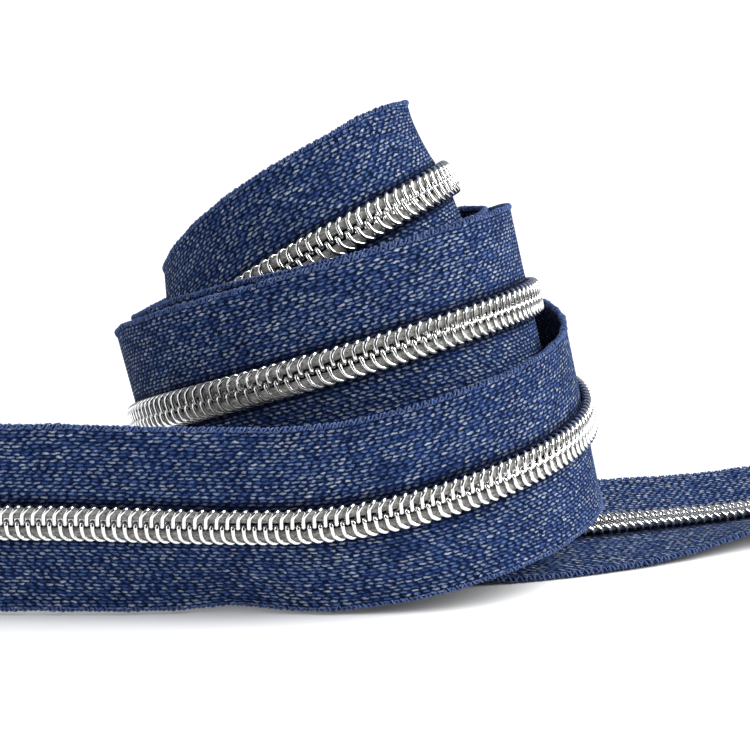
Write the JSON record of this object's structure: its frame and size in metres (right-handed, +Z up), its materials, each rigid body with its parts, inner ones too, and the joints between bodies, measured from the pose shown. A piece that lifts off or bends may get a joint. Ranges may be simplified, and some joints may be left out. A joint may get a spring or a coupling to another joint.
{
  "type": "coil zipper strip",
  "caption": "Loosely wound stepped roll of coil zipper strip standing on its edge, two woven tapes joined by interlocked coils, both ends free.",
  "frame": {"origin": "on the table under the middle of the strip's whole outline, ends included", "axes": "+Z up, +X along the longer way across, towards the end that runs out low from under the roll; the outer free end lies towards -X and the front of the roll faces -Y"},
  "size_m": [0.1535, 0.0878, 0.0785],
  "materials": {
    "tape_cloth": "heathered denim-blue weave",
    "coil_monofilament": "silver metallised nylon",
    "filler_cord": "grey fuzzy twisted yarn",
    "sewing_thread": "navy polyester thread"
  },
  "bodies": {
    "left_tail": {"upper_tape_left_tail": "tape_cloth", "lower_tape_left_tail": "tape_cloth", "upper_coil_left_tail": "coil_monofilament", "lower_coil_left_tail": "coil_monofilament", "upper_cord_left_tail": "filler_cord", "lower_cord_left_tail": "filler_cord", "upper_thread_left_tail": "sewing_thread", "lower_thread_left_tail": "sewing_thread"},
    "bottom_turn": {"upper_tape_bottom_turn": "tape_cloth", "lower_tape_bottom_turn": "tape_cloth", "upper_coil_bottom_turn": "coil_monofilament", "lower_coil_bottom_turn": "coil_monofilament", "upper_cord_bottom_turn": "filler_cord", "lower_cord_bottom_turn": "filler_cord", "upper_thread_bottom_turn": "sewing_thread", "lower_thread_bottom_turn": "sewing_thread"},
    "middle_turn": {"upper_tape_middle_turn": "tape_cloth", "lower_tape_middle_turn": "tape_cloth", "upper_coil_middle_turn": "coil_monofilament", "lower_coil_middle_turn": "coil_monofilament", "upper_cord_middle_turn": "filler_cord", "lower_cord_middle_turn": "filler_cord", "upper_thread_middle_turn": "sewing_thread", "lower_thread_middle_turn": "sewing_thread"},
    "top_turn": {"upper_tape_top_turn": "tape_cloth", "lower_tape_top_turn": "tape_cloth", "upper_coil_top_turn": "coil_monofilament", "lower_coil_top_turn": "coil_monofilament", "upper_cord_top_turn": "filler_cord", "lower_cord_top_turn": "filler_cord", "upper_thread_top_turn": "sewing_thread", "lower_thread_top_turn": "sewing_thread"},
    "inner_run": {"upper_tape_inner_run": "tape_cloth", "lower_tape_inner_run": "tape_cloth", "upper_coil_inner_run": "coil_monofilament", "lower_coil_inner_run": "coil_monofilament", "upper_cord_inner_run": "filler_cord", "lower_cord_inner_run": "filler_cord", "upper_thread_inner_run": "sewing_thread", "lower_thread_inner_run": "sewing_thread"},
    "right_tail": {"upper_tape_right_tail": "tape_cloth", "lower_tape_right_tail": "tape_cloth", "upper_coil_right_tail": "coil_monofilament", "lower_coil_right_tail": "coil_monofilament", "upper_cord_right_tail": "filler_cord", "lower_cord_right_tail": "filler_cord", "upper_thread_right_tail": "sewing_thread", "lower_thread_right_tail": "sewing_thread"}
  },
  "joints": [
    {"name": "left_tail_swing", "type": "hinge", "parent": "bottom_turn", "child": "left_tail", "pos_m": [-0.0285, -0.0439, 0.0155], "axis": [0, 0, 1], "range_deg": [0, 25]},
    {"name": "middle_turn_rise", "type": "slide", "parent": "bottom_turn", "child": "middle_turn", "axis": [0, 0, 1], "range_m": [0, 0.007]},
    {"name": "top_turn_rise", "type": "slide", "parent": "middle_turn", "child": "top_turn", "axis": [0, 0, 1], "range_m": [0, 0.007]},
    {"name": "inner_run_drop", "type": "slide", "parent": "top_turn", "child": "inner_run", "axis": [0, 0, -1], "range_m": [0, 0.014]},
    {"name": "right_tail_lift", "type": "hinge", "parent": "inner_run", "child": "right_tail", "pos_m": [0.0365, 0.0105, 0.0085], "axis": [0.5613, -0.8276, 0], "range_deg": [0, 25]}
  ],
  "couplings": [
    {"joint": "top_turn_rise", "follows": "middle_turn_rise", "ratio": 1},
    {"joint": "inner_run_drop", "follows": "middle_turn_rise", "ratio": 2}
  ]
}
